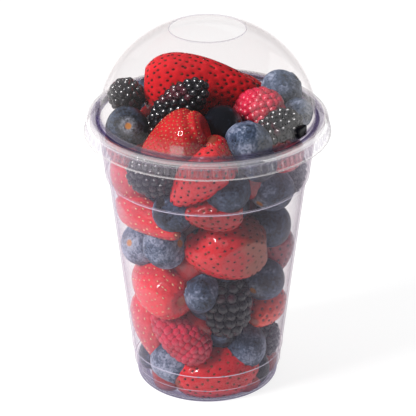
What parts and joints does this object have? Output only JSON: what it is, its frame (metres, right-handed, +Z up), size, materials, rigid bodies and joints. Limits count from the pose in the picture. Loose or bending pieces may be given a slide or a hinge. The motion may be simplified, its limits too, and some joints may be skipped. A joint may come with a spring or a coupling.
{
  "type": "fruit cup",
  "caption": "Tapered clear cup with a clear domed lid, filled with whole and cut strawberries, blueberries, raspberries and brambles.",
  "frame": {"origin": "middle of the circle that the cup stands on", "axes": "+Z up along the cup's axis, -Y towards the front"},
  "size_m": [0.1026, 0.1026, 0.1583],
  "materials": {
    "cup_plastic": "clear glossy PET",
    "lid_plastic": "clear glossy PET",
    "mixed_fruit": "mixed berries, satin",
    "strawberry": "satin red skin with seeds",
    "blueberry": "dusty blue bloom",
    "raspberry": "satin drupelets",
    "bramble": "glossy black drupelets"
  },
  "bodies": {
    "root": {"cup": "cup_plastic", "lid": "lid_plastic", "fruit_heap": "mixed_fruit", "strawberry_front": "strawberry", "blueberry_front": "blueberry", "blueberry_left": "blueberry", "bramble_right": "bramble", "strawberry_tip": "strawberry", "bramble_long": "bramble", "bramble_left": "bramble", "blueberry_dark": "blueberry", "blueberry_side": "blueberry", "raspberry_right": "raspberry", "strawberry_top": "strawberry", "blueberry_right": "blueberry", "strawberry_back": "strawberry", "blueberry_back": "blueberry", "raspberry_back": "raspberry"}
  },
  "joints": []
}
